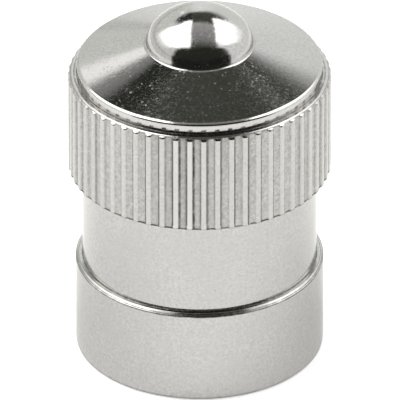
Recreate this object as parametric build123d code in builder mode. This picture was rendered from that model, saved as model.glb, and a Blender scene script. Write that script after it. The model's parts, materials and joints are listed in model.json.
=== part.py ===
from build123d import *
import os
from math import cos, pi, radians, sin, tan

# Tyre valve cap: a one-piece turned and knurled metal body that stands on its open
# end, and the rubber washer that seals the valve's rim inside it.
# Sizes are in millimetres. The valve's thread sets the bore, and the walls grow
# outwards from it. Heights stack upwards from the open end at Z = 0.

# Thread bore, open at the bottom
thread_diameter = 7.8
mouth_chamfer = 0.35

# Plain base band, a little wider than the neck
neck_wall = 0.745
base_step = 0.27
base_height = 3.9
base_edge_radius = 0.1
base_shoulder_radius = 0.12

# Plain neck between the base band and the knurled collar
neck_height = 4.17

# Straight-knurled collar
knurl_step = 0.555
knurl_height = 4.01
knurl_teeth = 58
knurl_turn_degrees = 1.27
knurl_depth = 0.1
crest_width = 0.2
valley_width = 0.28

# Crown: chamfer over the tooth ends, narrow ledge, short rim and shallow cone
crown_chamfer_inset = 0.26
crown_chamfer_height = 0.28
rim_inset = 0.38
rim_height = 0.26
rim_edge_radius = 0.2
cone_rise = 0.87

# Domed nub: three arcs that run into one another, each with the slope where it ends,
# and the fillet round its foot
nub_tip_radius = 2.25
nub_tip_slope = 25.0
nub_crown_radius = 2.88
nub_crown_slope = 45.0
nub_flank_radius = 1.2
nub_foot_slope = 88.0
nub_fillet_radius = 0.13

# Washer recess at the deep end of the bore, and the drill point above it
crown_thickness = 1.9
recess_depth = 0.3
recess_room = 0.2
pocket_diameter = 3.2
drill_point_angle = 118.0

# Rubber sealing washer
washer_thickness = 1.6
washer_hole_diameter = 3.0
washer_clearance = 0.03
washer_edge_radius = 0.2

# Radii worked out from the bore
bore_radius = thread_diameter / 2
mouth_radius = bore_radius + mouth_chamfer
neck_radius = bore_radius + neck_wall
base_radius = neck_radius + base_step
crest_radius = neck_radius + knurl_step
root_radius = crest_radius - knurl_depth
chamfer_radius = crest_radius - crown_chamfer_inset
rim_radius = crest_radius - rim_inset
recess_radius = bore_radius + recess_depth
pocket_radius = pocket_diameter / 2
washer_radius = recess_radius - washer_clearance

# Heights worked out from the open end
knurl_bottom = base_height + neck_height
knurl_top = knurl_bottom + knurl_height
rim_bottom = knurl_top + crown_chamfer_height
rim_top = rim_bottom + rim_height
nub_bottom = rim_top + cone_rise
seat_height = knurl_top - crown_thickness
washer_bottom = seat_height - washer_thickness
recess_bottom = washer_bottom - recess_room
pocket_tip = seat_height + pocket_radius / tan(radians(drill_point_angle / 2))

# The nub's foot and top, found by going along its arcs
tip_slope = radians(nub_tip_slope)
crown_slope = radians(nub_crown_slope)
foot_slope = radians(nub_foot_slope)
nub_radius = (
    nub_tip_radius * sin(tip_slope)
    + nub_crown_radius * (sin(crown_slope) - sin(tip_slope))
    + nub_flank_radius * (sin(foot_slope) - sin(crown_slope))
)
cap_top = (
    nub_bottom
    + nub_tip_radius * (1 - cos(tip_slope))
    + nub_crown_radius * (cos(tip_slope) - cos(crown_slope))
    + nub_flank_radius * (cos(crown_slope) - cos(foot_slope))
)

# One knurl groove, across its floor and across its mouth at the tooth crests
groove_mouth_width = 2 * pi * crest_radius / knurl_teeth - crest_width
groove_flare = (groove_mouth_width - valley_width) / knurl_depth
groove_overrun = 0.25 * knurl_depth
groove_outer_radius = crest_radius + groove_overrun
groove_outer_width = groove_mouth_width + groove_flare * groove_overrun

# Turned body
with BuildPart() as cap_body:
    with BuildSketch(Plane.XZ) as turned_section:
        with BuildLine():
            nub_tip = JernArc((0, cap_top), (1, 0), nub_tip_radius, -nub_tip_slope)
            nub_crown = JernArc(
                nub_tip @ 1, nub_tip % 1, nub_crown_radius, nub_tip_slope - nub_crown_slope
            )
            nub_flank = JernArc(
                nub_crown @ 1, nub_crown % 1, nub_flank_radius, nub_crown_slope - nub_foot_slope
            )
            Polyline(
                nub_flank @ 1,
                (rim_radius, rim_top),
                (rim_radius, rim_bottom),
                (chamfer_radius, rim_bottom),
                (crest_radius, knurl_top),
                (crest_radius, knurl_bottom),
                (neck_radius, knurl_bottom),
                (neck_radius, base_height),
                (base_radius, base_height),
                (base_radius, 0),
                (mouth_radius, 0),
                (bore_radius, mouth_chamfer),
                (bore_radius, recess_bottom),
                (recess_radius, recess_bottom),
                (recess_radius, seat_height),
                (pocket_radius, seat_height),
                (0, pocket_tip),
                (0, cap_top),
            )
        make_face()
        # The tool's rounded corners, each at its own place in the section
        for corner, corner_radius in (
            ((base_radius, 0), base_edge_radius),
            ((base_radius, base_height), base_shoulder_radius),
            ((rim_radius, rim_top), rim_edge_radius),
            ((nub_radius, nub_bottom), nub_fillet_radius),
        ):
            fillet(turned_section.vertices().sort_by_distance(corner)[0], corner_radius)
    revolve(axis=Axis.Z)

    # Straight grooves of the knurl, which run out through the chamfer at the top
    with BuildSketch(Plane.XY.offset(knurl_bottom)):
        with PolarLocations(0, knurl_teeth, start_angle=knurl_turn_degrees):
            Polygon(
                (root_radius, -valley_width / 2),
                (groove_outer_radius, -groove_outer_width / 2),
                (groove_outer_radius, groove_outer_width / 2),
                (root_radius, valley_width / 2),
            )
    extrude(amount=rim_top - knurl_bottom, mode=Mode.SUBTRACT)

# Rubber washer, seated against the top of its recess
with BuildPart() as sealing_washer:
    with BuildSketch(Plane.XY.offset(washer_bottom)):
        Circle(washer_radius)
        Circle(washer_hole_diameter / 2, mode=Mode.SUBTRACT)
    extrude(amount=washer_thickness)
    fillet(sealing_washer.edges().filter_by(GeomType.CIRCLE).group_by(Axis.Z)[0], washer_edge_radius)

cap_body.part.label = "cap_body"
sealing_washer.part.label = "sealing_washer"

os.makedirs("parts", exist_ok=True)
export_step(cap_body.part, "parts/cap_body.step")
export_step(sealing_washer.part, "parts/sealing_washer.step")
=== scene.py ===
# Tyre valve cap: a turned, straight-knurled brass body with bright nickel plate, the
# thread cut in its bore and the black rubber washer inside, on a white studio floor.
# Sizes are named in millimetres, heights rise from the open end, and mm() turns
# them to Blender's metres.

import json
from math import atan2, cos, pi, radians, sin, sqrt, tan
from random import Random

import bmesh
import bpy
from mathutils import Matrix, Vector


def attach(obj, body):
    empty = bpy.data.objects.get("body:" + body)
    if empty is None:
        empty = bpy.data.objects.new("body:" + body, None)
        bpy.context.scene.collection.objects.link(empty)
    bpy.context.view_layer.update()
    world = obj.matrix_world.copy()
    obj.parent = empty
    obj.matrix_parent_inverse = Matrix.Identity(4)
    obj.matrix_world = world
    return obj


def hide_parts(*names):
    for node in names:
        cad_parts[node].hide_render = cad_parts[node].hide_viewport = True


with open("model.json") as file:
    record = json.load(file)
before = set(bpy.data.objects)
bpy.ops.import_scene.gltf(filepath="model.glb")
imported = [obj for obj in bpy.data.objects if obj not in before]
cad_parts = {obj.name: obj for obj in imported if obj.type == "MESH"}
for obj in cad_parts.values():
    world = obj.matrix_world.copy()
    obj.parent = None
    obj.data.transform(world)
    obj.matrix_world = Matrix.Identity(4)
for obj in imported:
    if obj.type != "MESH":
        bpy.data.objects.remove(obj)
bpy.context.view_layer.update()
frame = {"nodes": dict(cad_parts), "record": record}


def mm(length):
    """Millimetres to metres."""
    return length / 1000


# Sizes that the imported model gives
mounts = {mount["name"]: mount for mount in frame["record"]["mounts"]}
bore_radius = mounts["valve_thread"]["dims"]["r_mm"]

# Steps of the turned body across its radius
mouth_chamfer = 0.35
neck_wall = 0.745
base_step = 0.27
base_chamfer = 0.12
knurl_step = 0.555
knurl_depth = 0.075
crest_end_inset = 0.085
step_inset = 0.1
ledge_inset = 0.145
rim_inset = 0.35
rim_chamfer = 0.085
recess_depth = 0.3

# Steps of the turned body along its axis
base_height = 3.94
neck_height = 4.04
knurl_height = 4.1
crest_end_drop = 0.035
crest_end_rise = 0.05
step_rise = 0.055
ledge_rise = 0.1
rim_height = 0.44
rim_chamfer_drop = 0.04
cone_rise = 0.87
crown_thickness = 1.9
recess_height = 1.8
drill_point_angle = 118

# Radii of the turned body
mouth_radius = bore_radius + mouth_chamfer
neck_radius = bore_radius + neck_wall
base_radius = neck_radius + base_step
crest_radius = neck_radius + knurl_step
root_radius = crest_radius - knurl_depth
crest_end_radius = crest_radius - crest_end_inset
step_radius = crest_radius - step_inset
ledge_radius = crest_radius - ledge_inset
rim_radius = crest_radius - rim_inset
recess_radius = bore_radius + recess_depth
pocket_radius = 1.6

# Heights of the turned body
knurl_bottom = base_height + neck_height
knurl_top = knurl_bottom + knurl_height
crest_end = knurl_top - crest_end_drop
crest_top = knurl_top + crest_end_rise
step_bottom = knurl_top + step_rise
rim_bottom = knurl_top + ledge_rise
rim_top = rim_bottom + rim_height
nub_bottom = rim_top + cone_rise
seat_height = knurl_top - crown_thickness
recess_bottom = seat_height - recess_height
pocket_tip = seat_height + pocket_radius / tan(radians(drill_point_angle / 2))

# Roundings of the turned edges: those that the plating leaves, and those that the tool cut
plated_edge = 0.03
crisp_edge = 0.02
step_edge = 0.01
rim_foot_edge = 0.015
base_foot_edge = 0.1
knurl_foot_edge = 0.05
rim_edge = 0.07
cone_edge = 0.05

# A flat beside a rounding gets a clean point at this distance from it, or at this share of its
# room where that is less
edge_support = 0.045
edge_support_share = 0.8
nub_fillet_support = 0.03

# Shade painted on the shoulder's chamfer thins out between these shares of its width
chamfer_shade_end = 0.4
chamfer_unshaded_start = 0.6

# Bands on the rim's wall: dark spots at a rise above its foot, then polish up to a drop
# below its top
rim_spot_rise = 0.15
rim_polish_rise = 0.23
rim_polish_drop = 0.14

# Domed nub: arcs from its tip down to its foot, each with its radius, the slope where it
# ends and its steps, and the fillet that leads into the cone
nub_arcs = (
    (2.25, radians(25), 8),
    (2.88, radians(45), 7),
    (1.2, radians(88), 12),
)
nub_fillet_radius = 0.13
nub_fillet_steps = 6
# Shade is painted into the fillet at the nub's foot and fades out up the flank to the slope given next
nub_foot_shade = 0.14
nub_unshaded_slope = radians(62)
nub_radius = 0
nub_top = nub_bottom
arc_start = 0
for arc_radius, arc_end, _ in nub_arcs:
    nub_radius += arc_radius * (sin(arc_end) - sin(arc_start))
    nub_top += arc_radius * (cos(arc_start) - cos(arc_end))
    arc_start = arc_end

cone_slope = cone_rise / (rim_radius - nub_radius)

# Straight knurl, whose teeth are cut deeper by up to the scatter
knurl_teeth = 58
knurl_turn = radians(1.84)
crest_width = 0.2
valley_width = 0.28
tooth_ease = 0.02
tooth_scatter = 0.008
tooth_seed = 7

# Rings of the section count as knurled from just under the knurl to just over its end
knurl_start_margin = 0.001
knurl_end_margin = 0.003

# Marks along the tooth's outline, which become its finish: below 0 on the crest, above 0 in the
# groove, and highest in the groove's corners, where dirt gathers. The corner at a tooth's left
# stays cleaner than the one at its right.
crest_mark = -0.5
flank_mark = 0.3
floor_mark = 0.5
corner_mark = 1.0
dirt_start_mark = 0.42
clean_corner_mark = 0.62

# Wear of a tooth: dirt in the groove to its right and polish on its crest, from 0 to 1. It is
# drawn at random. The front teeth and one at each side, counted from +X, follow the photograph.
wear_draw = Random(11)
most_drawn_dirt = 0.6
most_drawn_polish = 0.5
photo_wear = {
    31: (0.1, 0.3),
    39: (0.1, 0.3),
    40: (0.25, 0.2),
    41: (0.72, 0.8),
    42: (0.8, 1.0),
    43: (0.4, 0.45),
    44: (0.15, 0.2),
    45: (0.0, 0.15),
    46: (0.25, 0.25),
    54: (0.15, 0.3),
}
tooth_wear = []
for tooth in range(knurl_teeth):
    drawn_dirt = most_drawn_dirt * wear_draw.random() ** 3
    drawn_polish = wear_draw.uniform(0.0, most_drawn_polish)
    tooth_wear.append(photo_wear.get(tooth, (drawn_dirt, drawn_polish)))

# Cap thread, 32 turns to the inch, with a 60 degree form cut short at its crest
thread_pitch = 25.4 / 32
thread_bottom = 0.45
thread_top = 8.1
thread_depth = 0.42
thread_crest_width = 0.1
thread_flank_angle = 30
thread_embed = 0.05
thread_runout_turns = 0.6
thread_steps_per_turn = 64

# Points of a grown piece that meet are merged, and edges past the sharp angle stay sharp
merge_distance = 0.0001
sharp_angle = radians(40)

# Sizes of the patterns in the finishes
grain_width = 0.11
grain_depth = 0.0018
cloud_width = 1.7
mottle_width = 0.16
dirt_break_width = 0.3
speck_spacing = 0.15
talc_width = 0.8
pit_width = 0.06
pit_depth = 0.006

# Photograph's view: the camera looks down at the cap from far off
camera_elevation = radians(31.05)
photo_width = 400
photo_scale = 25.25
aim_height = 6.27
aim_side = 0.016
lens_length = 1500
sensor_width = 36

# Studio round the cap. The card's ribs are turned from the front by these degrees.
floor_half_width = 75
card_distance = 36
card_height = 20
card_turns = (-58, -40, -20, 0, 20, 44, 66)
softbox_height = 250


def linear(hex_colour):
    """An sRGB hex colour as the linear colour that shader sockets take."""
    values = [int(hex_colour[i:i + 2], 16) / 255 for i in (1, 3, 5)]
    return [v / 12.92 if v <= 0.04045 else ((v + 0.055) / 1.055) ** 2.4 for v in values] + [1]


def add_node(tree, kind, sockets=None, **settings):
    """Add a node with its settings, and link or set the input sockets given by name or place."""
    node = tree.nodes.new(kind)
    for name, value in settings.items():
        setattr(node, name, value)
    for socket, value in (sockets or {}).items():
        if isinstance(value, bpy.types.NodeSocket):
            tree.links.new(value, node.inputs[socket])
        else:
            node.inputs[socket].default_value = value
    return node


def nickel_plate():
    """Bright nickel on turned brass: a warm grey mirror under a fine satin grain, with dull
    specks that show where it reflects the dark. The grooves of the knurl are rougher and
    greyer, dirt stays in their corners, and shade is painted darker into the turned corners."""
    material = bpy.data.materials.new("bright nickel plate")
    material.use_nodes = True
    tree = material.node_tree
    shader = tree.nodes["Principled BSDF"]
    shader.inputs["Metallic"].default_value = 1
    shader.inputs["Specular Tint"].default_value = linear("#ECEBE9")
    place = add_node(tree, "ShaderNodeTexCoord").outputs["Object"]
    groove = add_node(tree, "ShaderNodeAttribute", attribute_name="groove").outputs["Fac"]
    # Dirt in the knurl's groove corners together with shade painted into the turned corners
    dirt = add_node(tree, "ShaderNodeAttribute", attribute_name="dirt").outputs["Fac"]

    # Satin grain: the real grain is about 0.02 mm wide, drawn coarser so that it shows
    grain = add_node(tree, "ShaderNodeTexNoise", {
        "Vector": place, "Scale": 1 / mm(grain_width), "Detail": 3.0, "Roughness": 0.65,
    }).outputs[0]
    grain_tone = add_node(tree, "ShaderNodeMapRange", {
        "Value": grain, "From Min": 0.3, "From Max": 0.7,
    }).outputs[0]
    plate = add_node(tree, "ShaderNodeMix", {
        "Factor": grain_tone, "A": linear("#B5B3B0"), "B": linear("#CFCDCA"),
    }, data_type="RGBA").outputs["Result"]

    # Cloudy patches a few millimetres across, where the plate was wiped
    clouds = add_node(tree, "ShaderNodeTexNoise", {
        "Vector": place, "Scale": 1 / mm(cloud_width), "Detail": 2.0, "Roughness": 0.5,
    }).outputs[0]
    cloud_tone = add_node(tree, "ShaderNodeMapRange", {
        "Value": clouds, "From Min": 0.35, "From Max": 0.65, "To Min": 0.0, "To Max": 0.5,
    }).outputs[0]

    # Groove floors pressed by the knurling wheel: grey and mottled
    mottle = add_node(tree, "ShaderNodeTexNoise", {
        "Vector": place, "Scale": 1 / mm(mottle_width), "Detail": 3.0, "Roughness": 0.7,
    }).outputs[0]
    mottle_tone = add_node(tree, "ShaderNodeMapRange", {
        "Value": mottle, "From Min": 0.36, "From Max": 0.64,
    }).outputs[0]
    pressed = add_node(tree, "ShaderNodeMix", {
        "Factor": mottle_tone, "A": linear("#ACAAA6"), "B": linear("#C5C3BF"),
    }, data_type="RGBA").outputs["Result"]
    valley = add_node(tree, "ShaderNodeMath", {0: groove, 1: 0.0}, operation="MAXIMUM").outputs[0]

    # Tooth crests rubbed bright by fingers
    crest = add_node(tree, "ShaderNodeMath", {
        0: groove, 1: -1.0,
    }, operation="MULTIPLY", use_clamp=True).outputs[0]
    rubbed = add_node(tree, "ShaderNodeMapRange", {
        "Value": clouds, "From Min": 0.35, "From Max": 0.6, "To Min": 0.6, "To Max": 1.0,
    }).outputs[0]
    crest = add_node(tree, "ShaderNodeMath", {0: crest, 1: rubbed}, operation="MULTIPLY").outputs[0]

    # Dirt in the knurl's groove corners, and shade painted into the turned corners, both broken up
    # along their line
    broken = add_node(tree, "ShaderNodeTexNoise", {
        "Vector": place, "Scale": 1 / mm(dirt_break_width), "Detail": 2.0, "Roughness": 0.6,
    }).outputs[0]
    broken = add_node(tree, "ShaderNodeMapRange", {
        "Value": broken, "From Min": 0.3, "From Max": 0.6, "To Min": 0.35, "To Max": 1.0,
    }).outputs[0]
    dirt = add_node(tree, "ShaderNodeMath", {
        0: dirt, 1: broken,
    }, operation="MULTIPLY", use_clamp=True).outputs[0]

    # Each of these lies over the ones before it
    layers = (
        (cloud_tone, linear("#C0BEBB")),
        (valley, pressed),
        (crest, linear("#D4D2CE")),
        (dirt, linear("#35342F")),
    )
    for cover, colour in layers:
        plate = add_node(tree, "ShaderNodeMix", {
            "Factor": cover, "A": plate, "B": colour,
        }, data_type="RGBA").outputs["Result"]
    tree.links.new(plate, shader.inputs["Base Color"])

    # Dull specks of less than 0.1 mm, gathered in patches, are rougher than the polish round them
    polish = add_node(tree, "ShaderNodeMapRange", {
        "Value": grain, "From Min": 0.5, "From Max": 0.8, "To Min": 0.11, "To Max": 0.24,
    }).outputs[0]
    cells = add_node(tree, "ShaderNodeTexVoronoi", {
        "Vector": place, "Scale": 1 / mm(speck_spacing),
    }).outputs
    specks = add_node(tree, "ShaderNodeMapRange", {
        "Value": cells["Distance"], "From Min": 0.46, "From Max": 0.2, "To Min": 0.0, "To Max": 0.19,
    }).outputs[0]
    patches = add_node(tree, "ShaderNodeMapRange", {
        "Value": clouds, "From Min": 0.42, "From Max": 0.58, "To Min": 0.12, "To Max": 1.0,
    }).outputs[0]
    chosen = add_node(tree, "ShaderNodeSeparateXYZ", {0: cells["Color"]}).outputs[0]
    chosen = add_node(tree, "ShaderNodeMapRange", {
        "Value": chosen, "From Min": 0.35, "From Max": 1.0,
    }).outputs[0]
    specks = add_node(tree, "ShaderNodeMath", {0: specks, 1: chosen}, operation="MULTIPLY").outputs[0]
    rough = polish
    for cause, added in ((specks, patches), (valley, 0.16), (dirt, 0.3)):
        rough = add_node(tree, "ShaderNodeMath", {
            0: cause, 1: added, 2: rough,
        }, operation="MULTIPLY_ADD").outputs[0]
    tree.links.new(rough, shader.inputs["Roughness"])

    # The grain is cut a few thousandths of a millimetre deep
    relief = add_node(tree, "ShaderNodeBump", {
        "Strength": 1.0, "Distance": mm(grain_depth), "Height": grain,
    }).outputs[0]
    tree.links.new(relief, shader.inputs["Normal"])
    return material


def nitrile_rubber():
    """Moulded nitrile rubber: soft black with a dull skin, greyer where the mould's talc stays."""
    material = bpy.data.materials.new("moulded nitrile rubber")
    material.use_nodes = True
    tree = material.node_tree
    shader = tree.nodes["Principled BSDF"]
    place = add_node(tree, "ShaderNodeTexCoord").outputs["Object"]
    talc = add_node(tree, "ShaderNodeTexNoise", {
        "Vector": place, "Scale": 1 / mm(talc_width), "Detail": 4.0, "Roughness": 0.6,
    }).outputs[0]
    talc = add_node(tree, "ShaderNodeMapRange", {
        "Value": talc, "From Min": 0.4, "From Max": 0.75,
    }).outputs[0]
    skin = add_node(tree, "ShaderNodeMix", {
        "Factor": talc, "A": linear("#191919"), "B": linear("#333231"),
    }, data_type="RGBA").outputs["Result"]
    tree.links.new(skin, shader.inputs["Base Color"])
    rough = add_node(tree, "ShaderNodeMapRange", {
        "Value": talc, "To Min": 0.55, "To Max": 0.75,
    }).outputs[0]
    tree.links.new(rough, shader.inputs["Roughness"])

    # The mould's spark-eroded skin: pits of about 0.06 mm
    pits = add_node(tree, "ShaderNodeTexNoise", {
        "Vector": place, "Scale": 1 / mm(pit_width), "Detail": 1.0,
    }).outputs[0]
    relief = add_node(tree, "ShaderNodeBump", {
        "Strength": 0.6, "Distance": mm(pit_depth), "Height": pits,
    }).outputs[0]
    tree.links.new(relief, shader.inputs["Normal"])
    return material


def rounded_section(corners):
    """Points along a half section as radius, mark and height. A corner is given by its radius,
    its height, its rounding, the steps of that arc and its mark. Each rounded corner gets an
    arc and a clean point just before and after it, so that the flats beside it stay flat in
    the shading. A mark from 0 to 1 is painted shade, below 0 it is polish, and above 1 it is
    dark spots."""
    points = []
    for index, (r, z, rounding, steps, mark) in enumerate(corners):
        if rounding == 0:
            points.append((r, mark, z))
            continue
        corner = Vector((r, z))
        back = Vector(corners[index - 1][:2]) - corner
        ahead = Vector(corners[index + 1][:2]) - corner
        back_length = back.length
        ahead_length = ahead.length
        back.normalize()
        ahead.normalize()
        half_angle = back.angle(ahead) / 2
        reach = rounding / tan(half_angle)
        centre = corner + (back + ahead).normalized() * rounding / sin(half_angle)
        start = corner + back * reach - centre
        end = corner + ahead * reach - centre
        turn = start.angle_signed(end)
        back_room = edge_support_share * (back_length / 2 - reach)
        ahead_room = edge_support_share * (ahead_length / 2 - reach)
        before = corner + back * (reach + min(edge_support, back_room))
        after = corner + ahead * (reach + min(edge_support, ahead_room))
        points.append((before.x, 0, before.y))
        for step in range(steps + 1):
            angle = -turn * step / steps
            x = centre.x + start.x * cos(angle) - start.y * sin(angle)
            y = centre.y + start.x * sin(angle) + start.y * cos(angle)
            points.append((x, mark, y))
        points.append((after.x, 0, after.y))
    return points


def nub_section():
    """Points from the cone's inner end up the fillet and over the domed nub to the axis, as
    radius, mark and height."""
    arcs = []
    point = Vector((0, nub_top))
    slope = 0
    for radius, end_slope, steps in nub_arcs:
        centre = point - Vector((sin(slope), cos(slope))) * radius
        arcs.append((centre, radius, slope, end_slope, steps))
        point = centre + Vector((sin(end_slope), cos(end_slope))) * radius
        slope = end_slope
    flank_centre, flank_radius = arcs[-1][:2]

    # The fillet's centre lies one radius above the cone and one outside the flank
    rim = Vector((rim_radius, rim_top))
    inwards = (point - rim).normalized()
    upwards = Vector((inwards.y, -inwards.x))
    lifted = rim + upwards * nub_fillet_radius - flank_centre
    reach = flank_radius + nub_fillet_radius
    along = lifted.dot(inwards)
    run = -along - sqrt(along**2 - lifted.length_squared + reach**2)
    centre = flank_centre + lifted + inwards * run
    foot = (centre - flank_centre).normalized()
    start_angle = atan2(-upwards.y, -upwards.x)
    turn = start_angle - atan2(-foot.y, -foot.x)
    turn = (turn + pi) % (2 * pi) - pi
    start = centre - upwards * nub_fillet_radius - inwards * nub_fillet_support
    points = [(start.x, 0, start.y)]
    # The fillet and the foot of the flank get painted shade
    for step in range(nub_fillet_steps + 1):
        angle = start_angle - turn * step / nub_fillet_steps
        x = centre.x + cos(angle) * nub_fillet_radius
        y = centre.y + sin(angle) * nub_fillet_radius
        points.append((x, nub_foot_shade, y))
    foot_slope = atan2(foot.x, foot.y)
    for centre, radius, low, high, steps in reversed(arcs):
        high = min(high, foot_slope)
        for step in range(1, steps + 1):
            angle = high + (low - high) * step / steps
            share = max(0, (angle - nub_unshaded_slope) / (foot_slope - nub_unshaded_slope))
            x = centre.x + sin(angle) * radius
            y = centre.y + cos(angle) * radius
            points.append((x, nub_foot_shade * share, y))
    return points


def line_object(name, points):
    """Loose helper object whose mesh is a row of points, given in metres."""
    mesh = bpy.data.meshes.new(name)
    mesh.from_pydata(points, [(i, i + 1) for i in range(len(points) - 1)], [])
    helper = bpy.data.objects.new(name, mesh)
    bpy.context.scene.collection.objects.link(helper)
    return helper


def new_tree(name, inputs):
    """Geometry Nodes tree with a geometry socket each way and the named inputs."""
    tree = bpy.data.node_groups.new(name, "GeometryNodeTree")
    tree.interface.new_socket("Geometry", in_out="INPUT", socket_type="NodeSocketGeometry")
    tree.interface.new_socket("Geometry", in_out="OUTPUT", socket_type="NodeSocketGeometry")
    for socket_name, kind in inputs:
        tree.interface.new_socket(socket_name, in_out="INPUT", socket_type=kind)
    return tree


def blank_grid(tree, rows, columns):
    """Grid of points to be put in place, and the shares of the way, from 0 to 1, at which each
    point lies over the rows and over the columns."""
    grid = add_node(tree, "GeometryNodeMeshGrid", {
        "Size X": 1.0, "Size Y": 1.0, "Vertices X": rows, "Vertices Y": columns,
    }).outputs["Mesh"]
    position = add_node(tree, "GeometryNodeInputPosition").outputs[0]
    shares = []
    for side in add_node(tree, "ShaderNodeSeparateXYZ", {0: position}).outputs[:2]:
        shares.append(add_node(tree, "ShaderNodeMath", {0: side, 1: 0.5}, operation="ADD").outputs[0])
    return grid, shares


def index_at(tree, share, last):
    """Whole number at a share of the way from 0 to the last."""
    number = add_node(tree, "ShaderNodeMath", {0: share, 1: last}, operation="MULTIPLY").outputs[0]
    return add_node(tree, "ShaderNodeMath", {0: number}, operation="ROUND").outputs[0]


def helper_point(tree, helper, index):
    """Place of the point of a helper's row that has this index."""
    position = add_node(tree, "GeometryNodeInputPosition").outputs[0]
    return add_node(tree, "GeometryNodeSampleIndex", {
        "Geometry": helper, "Value": position, "Index": index,
    }, data_type="FLOAT_VECTOR").outputs[0]


def about_axis(tree, radius, angle, height):
    """Place at a radius, an angle and a height about the cap's axis."""
    sides = {2: height}
    for side, operation in enumerate(("COSINE", "SINE")):
        share = add_node(tree, "ShaderNodeMath", {0: angle}, operation=operation).outputs[0]
        sides[side] = add_node(tree, "ShaderNodeMath", {
            0: radius, 1: share,
        }, operation="MULTIPLY").outputs[0]
    return add_node(tree, "ShaderNodeCombineXYZ", sides).outputs[0]


def finish_tree(tree, shape, metal):
    """End a tree with its instances made real and its metal set."""
    shape = add_node(tree, "GeometryNodeRealizeInstances", {"Geometry": shape}).outputs[0]
    shape = add_node(tree, "GeometryNodeSetMaterial", {
        "Geometry": shape, "Material": metal,
    }).outputs[0]
    add_node(tree, "NodeGroupOutput", {"Geometry": shape})


def grown_piece(name, helper, tree, values):
    """Plain mesh object that the tree makes from the helper's points."""
    modifier = helper.modifiers.new("growth", "NODES")
    modifier.node_group = tree
    for socket in tree.interface.items_tree:
        if socket.in_out == "INPUT" and socket.name in values:
            modifier[socket.identifier] = values[socket.name]
    depsgraph = bpy.context.evaluated_depsgraph_get()
    mesh = bpy.data.meshes.new_from_object(helper.evaluated_get(depsgraph))
    helper.modifiers.remove(modifier)
    bpy.data.objects.remove(helper)
    shape = bmesh.new()
    shape.from_mesh(mesh)
    bmesh.ops.recalc_face_normals(shape, faces=shape.faces)
    shape.to_mesh(mesh)
    shape.free()
    mesh.name = name
    piece = bpy.data.objects.new(name, mesh)
    bpy.context.scene.collection.objects.link(piece)
    return piece


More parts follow.
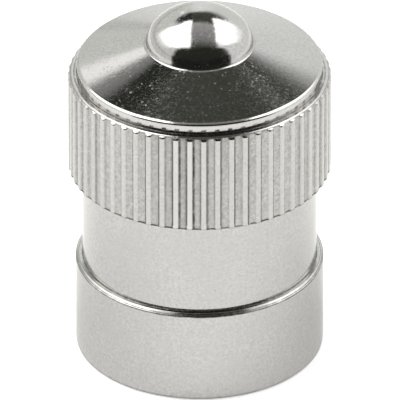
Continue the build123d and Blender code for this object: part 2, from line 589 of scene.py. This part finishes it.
def turned_body_tree():
    """Lathe for the body: each point of the half section becomes a ring, and inside the
    knurl's height a ring is cut down to the tooth outline, repeated all round."""
    tree = new_tree("knurled lathe", [
        ("Tooth outline", "NodeSocketObject"),
        ("Teeth", "NodeSocketInt"),
        ("First groove", "NodeSocketFloat"),
        ("Knurl bottom", "NodeSocketFloat"),
        ("Knurl end", "NodeSocketFloat"),
        ("Tooth scatter", "NodeSocketFloat"),
        ("Tooth wear", "NodeSocketObject"),
        ("Seed", "NodeSocketInt"),
        ("Sharp angle", "NodeSocketFloat"),
        ("Merge distance", "NodeSocketFloat"),
        ("Metal", "NodeSocketMaterial"),
    ])
    given = add_node(tree, "NodeGroupInput").outputs
    section = given["Geometry"]
    outline = add_node(tree, "GeometryNodeObjectInfo", {
        "Object": given["Tooth outline"],
    }).outputs["Geometry"]
    rings = add_node(tree, "GeometryNodeAttributeDomainSize", {
        "Geometry": section,
    }).outputs["Point Count"]
    steps = add_node(tree, "GeometryNodeAttributeDomainSize", {
        "Geometry": outline,
    }).outputs["Point Count"]
    columns = add_node(tree, "ShaderNodeMath", {
        0: given["Teeth"], 1: steps,
    }, operation="MULTIPLY").outputs[0]
    seam = add_node(tree, "ShaderNodeMath", {0: columns, 1: 1.0}, operation="ADD").outputs[0]
    last_ring = add_node(tree, "ShaderNodeMath", {0: rings, 1: 1.0}, operation="SUBTRACT").outputs[0]
    grid, (across, around) = blank_grid(tree, rings, seam)

    # Ring and column of each grid point, and the tooth and the step in it
    ring = index_at(tree, across, last_ring)
    column = index_at(tree, around, columns)
    tooth = add_node(tree, "ShaderNodeMath", {0: column, 1: steps}, operation="DIVIDE").outputs[0]
    tooth = add_node(tree, "ShaderNodeMath", {0: tooth}, operation="FLOOR").outputs[0]
    step = add_node(tree, "ShaderNodeMath", {0: column, 1: steps}, operation="MODULO").outputs[0]
    own_tooth = add_node(tree, "ShaderNodeMath", {
        0: tooth, 1: given["Teeth"],
    }, operation="MODULO").outputs[0]

    # Half section's point, tooth outline's point and the tooth's wear
    wear = add_node(tree, "GeometryNodeObjectInfo", {
        "Object": given["Tooth wear"],
    }).outputs["Geometry"]
    section_radius, section_mark, section_height = add_node(tree, "ShaderNodeSeparateXYZ", {
        0: helper_point(tree, section, ring),
    }).outputs
    outline_share, outline_radius, outline_mark = add_node(tree, "ShaderNodeSeparateXYZ", {
        0: helper_point(tree, outline, step),
    }).outputs
    tooth_dirt, tooth_polish, _ = add_node(tree, "ShaderNodeSeparateXYZ", {
        0: helper_point(tree, wear, own_tooth),
    }).outputs

    # Each tooth is cut a hair deeper or shallower than the next
    scatter = add_node(tree, "FunctionNodeRandomValue", {
        "Max": given["Tooth scatter"], "ID": own_tooth, "Seed": given["Seed"],
    }, data_type="FLOAT").outputs["Value"]
    tooth_radius = add_node(tree, "ShaderNodeMath", {
        0: outline_radius, 1: scatter,
    }, operation="SUBTRACT").outputs[0]
    cut_radius = add_node(tree, "ShaderNodeMath", {
        0: section_radius, 1: tooth_radius,
    }, operation="MINIMUM").outputs[0]
    above = add_node(tree, "FunctionNodeCompare", {
        0: section_height, 1: given["Knurl bottom"],
    }, operation="GREATER_EQUAL").outputs[0]
    below = add_node(tree, "FunctionNodeCompare", {
        0: section_height, 1: given["Knurl end"],
    }, operation="LESS_EQUAL").outputs[0]
    knurled = add_node(tree, "FunctionNodeBooleanMath", {
        0: above, 1: below,
    }, operation="AND").outputs[0]
    radius = add_node(tree, "GeometryNodeSwitch", {
        "Switch": knurled, "False": section_radius, "True": cut_radius,
    }, input_type="FLOAT").outputs[0]

    # Turn each ring about the axis
    turns = add_node(tree, "ShaderNodeMath", {0: tooth, 1: outline_share}, operation="ADD").outputs[0]
    turns = add_node(tree, "ShaderNodeMath", {
        0: turns, 1: given["Teeth"],
    }, operation="DIVIDE").outputs[0]
    angle = add_node(tree, "ShaderNodeMath", {
        0: turns, 1: 2 * pi, 2: given["First groove"],
    }, operation="MULTIPLY_ADD").outputs[0]
    turned = about_axis(tree, radius, angle, section_height)

    # The groove runs from -1 on a crest to 1 on a groove's floor, and its corners hold dirt
    code = add_node(tree, "GeometryNodeSwitch", {
        "Switch": knurled, "False": 0.0, "True": outline_mark,
    }, input_type="FLOAT").outputs[0]
    groove = add_node(tree, "ShaderNodeMapRange", {
        "Value": code, "From Min": crest_mark, "From Max": floor_mark, "To Min": -1.0, "To Max": 1.0,
    }).outputs[0]
    corner_dirt = add_node(tree, "ShaderNodeMapRange", {
        "Value": code, "From Min": dirt_start_mark, "From Max": corner_mark,
    }).outputs[0]
    corner_dirt = add_node(tree, "ShaderNodeMath", {
        0: corner_dirt, 1: tooth_dirt,
    }, operation="MULTIPLY").outputs[0]
    edge_share = add_node(tree, "ShaderNodeMapRange", {
        "Value": groove, "To Min": 0.35, "To Max": 1.0,
    }).outputs[0]
    edge_share = add_node(tree, "GeometryNodeSwitch", {
        "Switch": knurled, "False": 1.0, "True": edge_share,
    }, input_type="FLOAT").outputs[0]

    # A mark above 1 on the section is dark spots, one behind each tooth
    spotted = add_node(tree, "FunctionNodeCompare", {
        0: section_mark, 1: 1.0,
    }, operation="GREATER_THAN").outputs[0]
    spot = add_node(tree, "ShaderNodeMath", {0: section_mark, 1: 1.0}, operation="SUBTRACT").outputs[0]
    spot_share = add_node(tree, "ShaderNodeMapRange", {
        "Value": outline_mark, "From Min": flank_mark, "From Max": crest_mark,
    }).outputs[0]
    mark = add_node(tree, "GeometryNodeSwitch", {
        "Switch": spotted, "False": section_mark, "True": spot,
    }, input_type="FLOAT").outputs[0]
    edge_share = add_node(tree, "GeometryNodeSwitch", {
        "Switch": spotted, "False": edge_share, "True": spot_share,
    }, input_type="FLOAT").outputs[0]
    # The section's marks paint shade darker into the turned corners; the darker of that and the groove
    # corners' dirt is stored
    edge_shade = add_node(tree, "ShaderNodeMath", {
        0: mark, 1: edge_share,
    }, operation="MULTIPLY").outputs[0]
    dirt = add_node(tree, "ShaderNodeMath", {
        0: corner_dirt, 1: edge_shade,
    }, operation="MAXIMUM").outputs[0]

    # A crest is as bright as its polish, and so is a part of the section marked below zero
    polished = add_node(tree, "ShaderNodeMath", {
        0: groove, 1: tooth_polish,
    }, operation="MULTIPLY").outputs[0]
    groove = add_node(tree, "ShaderNodeMath", {
        0: groove, 1: polished,
    }, operation="MAXIMUM").outputs[0]
    polished = add_node(tree, "ShaderNodeMath", {
        0: section_mark, 1: 0.0,
    }, operation="MINIMUM").outputs[0]
    groove = add_node(tree, "ShaderNodeMath", {0: groove, 1: polished}, operation="ADD").outputs[0]
    body = grid
    for name, value in (("groove", groove), ("dirt", dirt)):
        body = add_node(tree, "GeometryNodeStoreNamedAttribute", {
            "Geometry": body, "Name": name, "Value": value,
        }, data_type="FLOAT", domain="POINT").outputs[0]
    body = add_node(tree, "GeometryNodeSetPosition", {
        "Geometry": body, "Position": turned,
    }).outputs[0]
    body = add_node(tree, "GeometryNodeMergeByDistance", {
        "Geometry": body, "Distance": given["Merge distance"],
    }).outputs[0]

    # Smooth all over, apart from true corners
    body = add_node(tree, "GeometryNodeSetShadeSmooth", {"Geometry": body}).outputs[0]
    edge_angle = add_node(tree, "GeometryNodeInputMeshEdgeAngle").outputs["Unsigned Angle"]
    corner = add_node(tree, "FunctionNodeCompare", {
        0: edge_angle, 1: given["Sharp angle"],
    }, operation="GREATER_THAN").outputs[0]
    body = add_node(tree, "GeometryNodeSetShadeSmooth", {
        "Geometry": body, "Selection": corner, "Shade Smooth": False,
    }, domain="EDGE").outputs[0]
    finish_tree(tree, body, given["Metal"])
    return tree


def cap_body(metal):
    """Turned and knurled body, from the drill point inside round to the top of the nub."""
    shade_place = base_chamfer * chamfer_shade_end
    unshaded_place = base_chamfer * chamfer_unshaded_start
    chamfer_bottom = base_height - base_chamfer
    chamfer_radius = base_radius - base_chamfer
    # Each corner's last number is its mark: the darkening at the base's foot, on the shoulder's
    # chamfer, under the knurl, at the step under the rim and at the rim's foot is painted shade
    section = rounded_section([
        (0, pocket_tip, 0, 0, 0),
        (pocket_radius, seat_height, 0, 0, 0),
        (recess_radius, seat_height, 0, 0, 0),
        (recess_radius, recess_bottom, 0, 0, 0),
        (bore_radius, recess_bottom, 0, 0, 0),
        (bore_radius, mouth_chamfer, plated_edge, 2, 0),
        (mouth_radius, 0, plated_edge, 1, 0),
        (base_radius, 0, base_foot_edge, 3, 0.3),
        (base_radius, chamfer_bottom, crisp_edge, 2, 0.9),
        (base_radius - shade_place, chamfer_bottom + shade_place, 0, 0, 0.9),
        (base_radius - unshaded_place, chamfer_bottom + unshaded_place, 0, 0, 0),
        (chamfer_radius, base_height, crisp_edge, 2, 0.5),
        ((chamfer_radius + neck_radius) / 2, base_height, 0, 0, 0.25),
        (neck_radius, base_height, crisp_edge, 2, 0.85),
        (neck_radius, knurl_bottom, plated_edge, 2, 0.5),
        (crest_radius, knurl_bottom, knurl_foot_edge, 2, 0.85),
        (crest_radius, crest_end, plated_edge, 2, 0),
        (crest_end_radius, crest_top, crisp_edge, 2, 0.3),
        (step_radius, step_bottom, step_edge, 2, 0.8),
        (ledge_radius, rim_bottom, step_edge, 2, 0.05),
        ((ledge_radius + rim_radius) / 2, rim_bottom, 0, 0, 0.6),
        (rim_radius, rim_bottom, rim_foot_edge, 2, 0.75),
        (rim_radius, rim_bottom + rim_spot_rise, 0, 0, 1.95),
        (rim_radius, rim_bottom + rim_polish_rise, 0, 0, -0.6),
        (rim_radius, rim_top - rim_polish_drop, 0, 0, -0.6),
        (rim_radius, rim_top - rim_chamfer_drop, rim_edge, 3, 0),
        (rim_radius - rim_chamfer, rim_top + rim_chamfer * cone_slope, cone_edge, 3, 0),
        (nub_radius, nub_bottom, 0, 0, 0),
    ])[:-1]
    section += nub_section()
    helper = line_object("half section", [(mm(r), mark, mm(z)) for r, mark, z in section])

    # One tooth from the middle of a groove to the middle of the next, along the pitch
    pitch = 2 * pi * crest_radius / knurl_teeth
    groove_corner = valley_width / 2
    crest_corner = (pitch - crest_width) / 2
    ease = tooth_ease
    half_outline = [
        (0, root_radius, floor_mark),
        (groove_corner - 4 * ease, root_radius, floor_mark),
        (groove_corner - 2.5 * ease, root_radius, 0.95),
        (groove_corner - ease, root_radius, corner_mark),
        (groove_corner + ease, root_radius + 2 * ease, 0.9),
        (crest_corner - ease, crest_radius - 2 * ease, flank_mark),
        (crest_corner + ease, crest_radius, crest_mark),
        (pitch / 2, crest_radius, crest_mark),
    ]
    outline = [(along, radius, min(mark, clean_corner_mark)) for along, radius, mark in half_outline]
    outline += [(pitch - along, radius, mark) for along, radius, mark in reversed(half_outline[1:-1])]
    tooth = line_object("tooth outline", [(along / pitch, mm(r), mark) for along, r, mark in outline])
    wear = line_object("tooth wear", [(dirt, polish, 0) for dirt, polish in tooth_wear])

    body = grown_piece("nickel_body", helper, turned_body_tree(), {
        "Tooth outline": tooth,
        "Teeth": knurl_teeth,
        "First groove": knurl_turn,
        "Knurl bottom": mm(knurl_bottom - knurl_start_margin),
        "Knurl end": mm(crest_top + knurl_end_margin),
        "Tooth scatter": mm(tooth_scatter),
        "Tooth wear": wear,
        "Seed": tooth_seed,
        "Sharp angle": sharp_angle,
        "Merge distance": mm(merge_distance),
        "Metal": metal,
    })
    bpy.data.objects.remove(tooth)
    bpy.data.objects.remove(wear)
    return body


def thread_tree():
    """Ridge wound up the bore: the thread's profile is carried along the turns and shrinks
    into the wall where the thread runs out at both ends."""
    tree = new_tree("thread ridge", [
        ("Bore radius", "NodeSocketFloat"),
        ("Bottom", "NodeSocketFloat"),
        ("Pitch", "NodeSocketFloat"),
        ("Turns", "NodeSocketFloat"),
        ("Steps", "NodeSocketInt"),
        ("Run-out turns", "NodeSocketFloat"),
        ("Merge distance", "NodeSocketFloat"),
        ("Metal", "NodeSocketMaterial"),
    ])
    given = add_node(tree, "NodeGroupInput").outputs
    profile = given["Geometry"]
    corners = add_node(tree, "GeometryNodeAttributeDomainSize", {
        "Geometry": profile,
    }).outputs["Point Count"]
    last_corner = add_node(tree, "ShaderNodeMath", {
        0: corners, 1: 1.0,
    }, operation="SUBTRACT").outputs[0]
    grid, (along, across) = blank_grid(tree, given["Steps"], corners)

    # Turn and profile corner of each grid point
    turn = add_node(tree, "ShaderNodeMath", {
        0: along, 1: given["Turns"],
    }, operation="MULTIPLY").outputs[0]
    corner = index_at(tree, across, last_corner)

    # Share of the full profile, from nothing at each end
    left_over = add_node(tree, "ShaderNodeMath", {
        0: given["Turns"], 1: turn,
    }, operation="SUBTRACT").outputs[0]
    nearest = add_node(tree, "ShaderNodeMath", {0: turn, 1: left_over}, operation="MINIMUM").outputs[0]
    share = add_node(tree, "ShaderNodeMath", {
        0: nearest, 1: given["Run-out turns"],
    }, operation="DIVIDE", use_clamp=True).outputs[0]
    profile_point = add_node(tree, "ShaderNodeVectorMath", {
        0: helper_point(tree, profile, corner), "Scale": share,
    }, operation="SCALE").outputs[0]
    out, _, up = add_node(tree, "ShaderNodeSeparateXYZ", {0: profile_point}).outputs

    # Right-hand turn up the bore
    angle = add_node(tree, "ShaderNodeMath", {0: turn, 1: 2 * pi}, operation="MULTIPLY").outputs[0]
    radius = add_node(tree, "ShaderNodeMath", {
        0: given["Bore radius"], 1: out,
    }, operation="ADD").outputs[0]
    climb = add_node(tree, "ShaderNodeMath", {
        0: turn, 1: given["Pitch"], 2: given["Bottom"],
    }, operation="MULTIPLY_ADD").outputs[0]
    height = add_node(tree, "ShaderNodeMath", {0: climb, 1: up}, operation="ADD").outputs[0]
    ridge = add_node(tree, "GeometryNodeSetPosition", {
        "Geometry": grid, "Position": about_axis(tree, radius, angle, height),
    }).outputs[0]
    ridge = add_node(tree, "GeometryNodeMergeByDistance", {
        "Geometry": ridge, "Distance": given["Merge distance"],
    }).outputs[0]
    finish_tree(tree, ridge, given["Metal"])
    return tree


def cap_thread(metal):
    """Thread ridge in the bore, sunk a little into the wall."""
    half_crest = thread_crest_width / 2
    half_root = half_crest + (thread_depth + thread_embed) * tan(radians(thread_flank_angle))
    profile = [
        (thread_embed, -half_root),
        (-thread_depth, -half_crest),
        (-thread_depth, half_crest),
        (thread_embed, half_root),
        (thread_embed, -half_root),
    ]
    helper = line_object("thread profile", [(mm(out), 0, mm(up)) for out, up in profile])
    turns = (thread_top - thread_bottom) / thread_pitch
    return grown_piece("cap_thread", helper, thread_tree(), {
        "Bore radius": mm(bore_radius),
        "Bottom": mm(thread_bottom),
        "Pitch": mm(thread_pitch),
        "Turns": turns,
        "Steps": round(turns * thread_steps_per_turn) + 1,
        "Run-out turns": thread_runout_turns,
        "Merge distance": mm(merge_distance),
        "Metal": metal,
    })


def blank_material(name):
    """Material with an empty tree, for a sheet of the studio."""
    material = bpy.data.materials.new(name)
    material.use_nodes = True
    material.node_tree.nodes.clear()
    return material


def stage_sheet(name, ribs, material, steps=8):
    """Sheet of the studio, which isn't part of the cap, stretched between ribs that are each
    given by their two ends. Its cloth map runs from 0 to 1 over the ribs and along them."""
    points = []
    places = []
    spans = len(ribs) - 1
    for row in range(spans * steps + 1):
        span = min(row // steps, spans - 1)
        share = row / steps - span
        first, second = (Vector(a).lerp(Vector(b), share) for a, b in zip(ribs[span], ribs[span + 1]))
        for column in range(steps + 1):
            points.append(first.lerp(second, column / steps))
            places.append((row / (spans * steps), column / steps))
    faces = []
    for row in range(spans * steps):
        for column in range(steps):
            corner = row * (steps + 1) + column
            faces.append((corner, corner + 1, corner + steps + 2, corner + steps + 1))
    mesh = bpy.data.meshes.new(name)
    mesh.from_pydata(points, [], faces)
    layer = mesh.uv_layers.new(name="cloth")
    for loop in mesh.loops:
        layer.data[loop.index].uv = places[loop.vertex_index]
    mesh.materials.append(material)
    sheet = bpy.data.objects.new(name, mesh)
    bpy.context.scene.collection.objects.link(sheet)
    return sheet


def studio_floor():
    """White sheet that keeps a soft shadow and shows white in the metal too. Its underside is
    clear, so that the open end can be looked at from below."""
    material = blank_material("white studio floor")
    tree = material.node_tree
    paths = add_node(tree, "ShaderNodeLightPath").outputs
    mirrored = add_node(tree, "ShaderNodeMath", {
        0: paths["Is Glossy Ray"], 1: paths["Is Transmission Ray"],
    }, operation="MAXIMUM").outputs[0]

    # What the metal mirrors is lighter far off, and close behind the cap
    place = add_node(tree, "ShaderNodeTexCoord").outputs["Object"]
    distance = add_node(tree, "ShaderNodeVectorMath", {0: place}, operation="LENGTH").outputs["Value"]
    mirror_glow = add_node(tree, "ShaderNodeMapRange", {
        "Value": distance, "From Min": mm(15), "From Max": mm(60), "To Min": 0.305, "To Max": 0.39,
    }).outputs[0]
    depth = add_node(tree, "ShaderNodeSeparateXYZ", {0: place}).outputs[1]
    behind = add_node(tree, "ShaderNodeMapRange", {
        "Value": depth, "From Min": mm(2), "From Max": mm(8), "To Min": 0.0, "To Max": 0.16,
    }).outputs[0]
    near = add_node(tree, "ShaderNodeMapRange", {
        "Value": distance, "From Min": mm(22), "From Max": mm(15),
    }).outputs[0]
    mirror_glow = add_node(tree, "ShaderNodeMath", {
        0: behind, 1: near, 2: mirror_glow,
    }, operation="MULTIPLY_ADD").outputs[0]
    glow_strength = add_node(tree, "ShaderNodeMath", {
        0: mirrored, 1: mirror_glow,
    }, operation="MULTIPLY").outputs[0]
    glow_strength = add_node(tree, "ShaderNodeMath", {
        0: paths["Is Camera Ray"], 1: 0.5, 2: glow_strength,
    }, operation="MULTIPLY_ADD").outputs[0]
    matte = add_node(tree, "ShaderNodeBsdfDiffuse", {"Color": (0.88, 0.88, 0.88, 1)}).outputs[0]
    glow = add_node(tree, "ShaderNodeEmission", {"Strength": glow_strength}).outputs[0]
    lit = add_node(tree, "ShaderNodeAddShader", {0: matte, 1: glow}).outputs[0]
    underside = add_node(tree, "ShaderNodeNewGeometry").outputs["Backfacing"]
    clear = add_node(tree, "ShaderNodeBsdfTransparent").outputs[0]
    surface = add_node(tree, "ShaderNodeMixShader", {"Fac": underside, 1: lit, 2: clear}).outputs[0]
    add_node(tree, "ShaderNodeOutputMaterial", {"Surface": surface})
    half = mm(floor_half_width)
    ribs = [[(x, y, 0) for y in (half, -half)] for x in (-half, half)]
    stage_sheet("studio_floor", ribs, material)


def front_card():
    """Black card bent round the front of the cap, out of the camera's sight, that the nub
    mirrors."""
    material = blank_material("black card")
    tree = material.node_tree
    matte = add_node(tree, "ShaderNodeBsdfDiffuse", {"Color": (0.02, 0.02, 0.02, 1)}).outputs[0]
    add_node(tree, "ShaderNodeOutputMaterial", {"Surface": matte})
    ribs = []
    for turn in card_turns:
        x = mm(card_distance * sin(radians(turn)))
        y = mm(-card_distance * cos(radians(turn)))
        ribs.append([(x, y, 0), (x, y, mm(card_height))])
    card = stage_sheet("front_card", ribs, material)
    card.visible_camera = False
    card.visible_diffuse = False
    card.visible_shadow = False


def softbox(name, ribs, strength, fades, tail=1):
    """Lit cloth over the table, seen only by what it lights. Its ribs are given as shares of
    its height above the table. It fades at its first and last rib, and at the near and far
    ends of its ribs, over the given shares, and tail is the share of its strength at the last
    rib."""
    material = blank_material(name + " cloth")
    tree = material.node_tree
    place = add_node(tree, "ShaderNodeUVMap", uv_map="cloth").outputs[0]
    place = add_node(tree, "ShaderNodeSeparateXYZ", {0: place}).outputs
    cover = None
    for side, (near, far) in zip(place, fades):
        for edge, inside in ((0.0, near), (1.0, 1 - far)):
            rise = add_node(tree, "ShaderNodeMapRange", {
                "Value": side, "From Min": edge, "From Max": inside,
            }, interpolation_type="SMOOTHSTEP").outputs[0]
            if cover:
                rise = add_node(tree, "ShaderNodeMath", {
                    0: cover, 1: rise,
                }, operation="MULTIPLY").outputs[0]
            cover = rise
    level = add_node(tree, "ShaderNodeMapRange", {
        "Value": place[0], "To Min": strength, "To Max": strength * tail,
    }).outputs[0]
    clear = add_node(tree, "ShaderNodeBsdfTransparent").outputs[0]
    glow = add_node(tree, "ShaderNodeEmission", {"Strength": level}).outputs[0]
    cloth = add_node(tree, "ShaderNodeMixShader", {"Fac": cover, 1: clear, 2: glow}).outputs[0]
    add_node(tree, "ShaderNodeOutputMaterial", {"Surface": cloth})
    places = [[Vector((x, y, 1)) * mm(softbox_height) for x, y in rib] for rib in ribs]
    stage_sheet(name, places, material).visible_camera = False


def studio_world():
    """Room round the table: white paper up to a low height behind and beside, dark above."""
    white_paper = (1.2, 1.24, 1.23, 1)
    right_paper = (1.05, 1.07, 1.08, 1)
    left_paper = (0.93, 0.95, 0.93, 1)
    seam_shade = (0.66, 0.66, 0.67, 1)
    dark_above = (0.070, 0.076, 0.062, 1)
    dark_corner = (0.02, 0.024, 0.018, 1)
    dark_front = (0.03, 0.033, 0.026, 1)
    background = (1, 1, 1, 1)
    world = bpy.data.worlds.new("studio")
    bpy.context.scene.world = world
    world.use_nodes = True
    tree = world.node_tree
    tree.nodes.clear()
    direction = add_node(tree, "ShaderNodeTexCoord").outputs["Generated"]
    across, _, height = add_node(tree, "ShaderNodeSeparateXYZ", {0: direction}).outputs

    # The paper's upper edge sinks to both sides, and is softer the further it is to the right
    side = add_node(tree, "ShaderNodeMath", {0: across}, operation="ABSOLUTE").outputs[0]
    right_side = add_node(tree, "ShaderNodeMath", {0: across, 1: 0.0}, operation="MAXIMUM").outputs[0]
    edge = add_node(tree, "ShaderNodeMath", {
        0: side, 1: 0.2, 2: height,
    }, operation="MULTIPLY_ADD").outputs[0]
    edge = add_node(tree, "ShaderNodeMath", {
        0: across, 1: 0.06, 2: edge,
    }, operation="MULTIPLY_ADD").outputs[0]
    upper_edge = add_node(tree, "ShaderNodeMath", {
        0: right_side, 1: 0.2, 2: 0.73,
    }, operation="MULTIPLY_ADD").outputs[0]
    lower_edge = add_node(tree, "ShaderNodeMath", {
        0: right_side, 1: -0.3, 2: 0.65,
    }, operation="MULTIPLY_ADD").outputs[0]
    paper = add_node(tree, "ShaderNodeMapRange", {
        "Value": edge, "From Min": upper_edge, "From Max": lower_edge,
    }, interpolation_type="SMOOTHSTEP").outputs[0]
    beyond = add_node(tree, "ShaderNodeMapRange", {
        "Value": side, "From Min": 0.46, "From Max": 0.58,
    }, interpolation_type="SMOOTHSTEP").outputs[0]
    paper = add_node(tree, "ShaderNodeMath", {0: paper, 1: beyond}, operation="MAXIMUM").outputs[0]

    # To the left the paper is greyer, with a dark seam low down, and the room above it darker
    shares = []
    for start, end in ((0.0, -0.26), (0.0, 0.3), (-0.1, -0.27)):
        shares.append(add_node(tree, "ShaderNodeMapRange", {
            "Value": across, "From Min": start, "From Max": end,
        }, interpolation_type="SMOOTHSTEP").outputs[0])
    left, right, corner = shares
    seam = add_node(tree, "ShaderNodeMath", {0: height, 1: 0.11}, operation="SUBTRACT").outputs[0]
    seam = add_node(tree, "ShaderNodeMath", {0: seam}, operation="ABSOLUTE").outputs[0]
    seam = add_node(tree, "ShaderNodeMapRange", {
        "Value": seam, "From Min": 0.06, "From Max": 0.02,
    }, interpolation_type="SMOOTHSTEP").outputs[0]
    seam = add_node(tree, "ShaderNodeMath", {0: seam, 1: left}, operation="MULTIPLY").outputs[0]
    white = white_paper
    for share, colour in ((right, right_paper), (left, left_paper), (seam, seam_shade)):
        white = add_node(tree, "ShaderNodeMix", {
            "Factor": share, "A": white, "B": colour,
        }, data_type="RGBA").outputs["Result"]

    # Dark room behind the camera, cut off over the table and at both sides
    over = add_node(tree, "ShaderNodeVectorMath", {
        0: direction, 1: (0, 1, 0.53),
    }, operation="DOT_PRODUCT").outputs["Value"]
    over = add_node(tree, "ShaderNodeMapRange", {
        "Value": over, "From Min": 0.03, "From Max": -0.05,
    }, interpolation_type="SMOOTHSTEP").outputs[0]
    beside = add_node(tree, "ShaderNodeVectorMath", {
        0: direction, 1: (-0.06, 1, -0.2),
    }, operation="DOT_PRODUCT").outputs["Value"]
    beside = add_node(tree, "ShaderNodeMapRange", {
        "Value": beside, "From Min": -0.44, "From Max": -0.56,
    }, interpolation_type="SMOOTHSTEP").outputs[0]
    front = add_node(tree, "ShaderNodeMath", {0: over, 1: beside}, operation="MULTIPLY").outputs[0]

    # The camera itself sees a plain white background
    seen = add_node(tree, "ShaderNodeLightPath").outputs["Is Camera Ray"]
    room = dark_above
    layers = ((corner, dark_corner), (paper, white), (front, dark_front), (seen, background))
    for share, colour in layers:
        room = add_node(tree, "ShaderNodeMix", {
            "Factor": share, "A": room, "B": colour,
        }, data_type="RGBA").outputs["Result"]
    glow = add_node(tree, "ShaderNodeBackground", {"Color": room}).outputs[0]
    add_node(tree, "ShaderNodeOutputWorld", {"Surface": glow})


def photo_camera():
    """Camera at the photograph's angle, far off so that the view is almost parallel."""
    data = bpy.data.cameras.new("photo camera")
    data.lens = lens_length
    data.sensor_width = sensor_width
    view_width = mm(photo_width / photo_scale)
    distance = view_width * lens_length / sensor_width
    look = Vector((0, cos(camera_elevation), -sin(camera_elevation)))
    camera = bpy.data.objects.new("photo camera", data)
    camera.location = Vector((mm(aim_side), 0, mm(aim_height))) - look * distance
    camera.rotation_euler = look.to_track_quat("-Z", "Y").to_euler()
    data.clip_start = distance / 10
    data.clip_end = distance * 10
    bpy.context.scene.collection.objects.link(camera)
    bpy.context.scene.camera = camera


metal = nickel_plate()
body = cap_body(metal)
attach(body, "root")
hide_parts("cap_body")

thread = cap_thread(metal)
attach(thread, "root")

washer = frame["nodes"]["sealing_washer"]
washer.data.materials.clear()
washer.data.materials.append(nitrile_rubber())

studio_floor()
front_card()
softbox("left_softbox", (
    ((-0.17, 0.43), (-0.29, -0.66)),
    ((-0.72, 0.50), (-0.90, -0.64)),
    ((-1.34, 1.00), (-1.38, -0.62)),
    ((-2.10, 1.60), (-2.20, -0.60)),
    ((-4.60, 3.40), (-5.00, -0.50)),
), strength=3.9, fades=((0.03, 1.0), (0.09, 0.33)))
softbox("right_softbox", (
    ((0.34, 0.64), (0.50, -0.38)),
    ((0.77, 0.88), (1.06, -0.34)),
    ((1.26, 1.38), (1.56, -0.14)),
    ((2.00, 2.05), (2.30, 0.20)),
    ((4.20, 4.00), (4.60, 0.60)),
), strength=3.0, fades=((0.03, 1.0), (0.10, 0.2)))
softbox("corner_light", (
    ((-0.45, 1.14), (-0.61, 1.10)),
    ((-0.58, 1.77), (-0.74, 1.72)),
), strength=1.6, fades=((0.12, 0.2), (0.3, 0.3)))
softbox("corner_fill", (
    ((-0.33, 0.80), (-0.47, 0.76)),
    ((-0.45, 1.12), (-0.59, 1.08)),
), strength=0.34, fades=((0.2, 0.08), (0.25, 0.25)))
softbox("ceiling", (
    ((-0.22, 0.33), (0.38, 0.33)),
    ((-0.32, -0.58), (0.54, -0.58)),
), strength=0.56, fades=((0.12, 0.42), (0.02, 0.02)), tail=0.4)
studio_world()
photo_camera()
bpy.context.scene.view_settings.view_transform = "Standard"
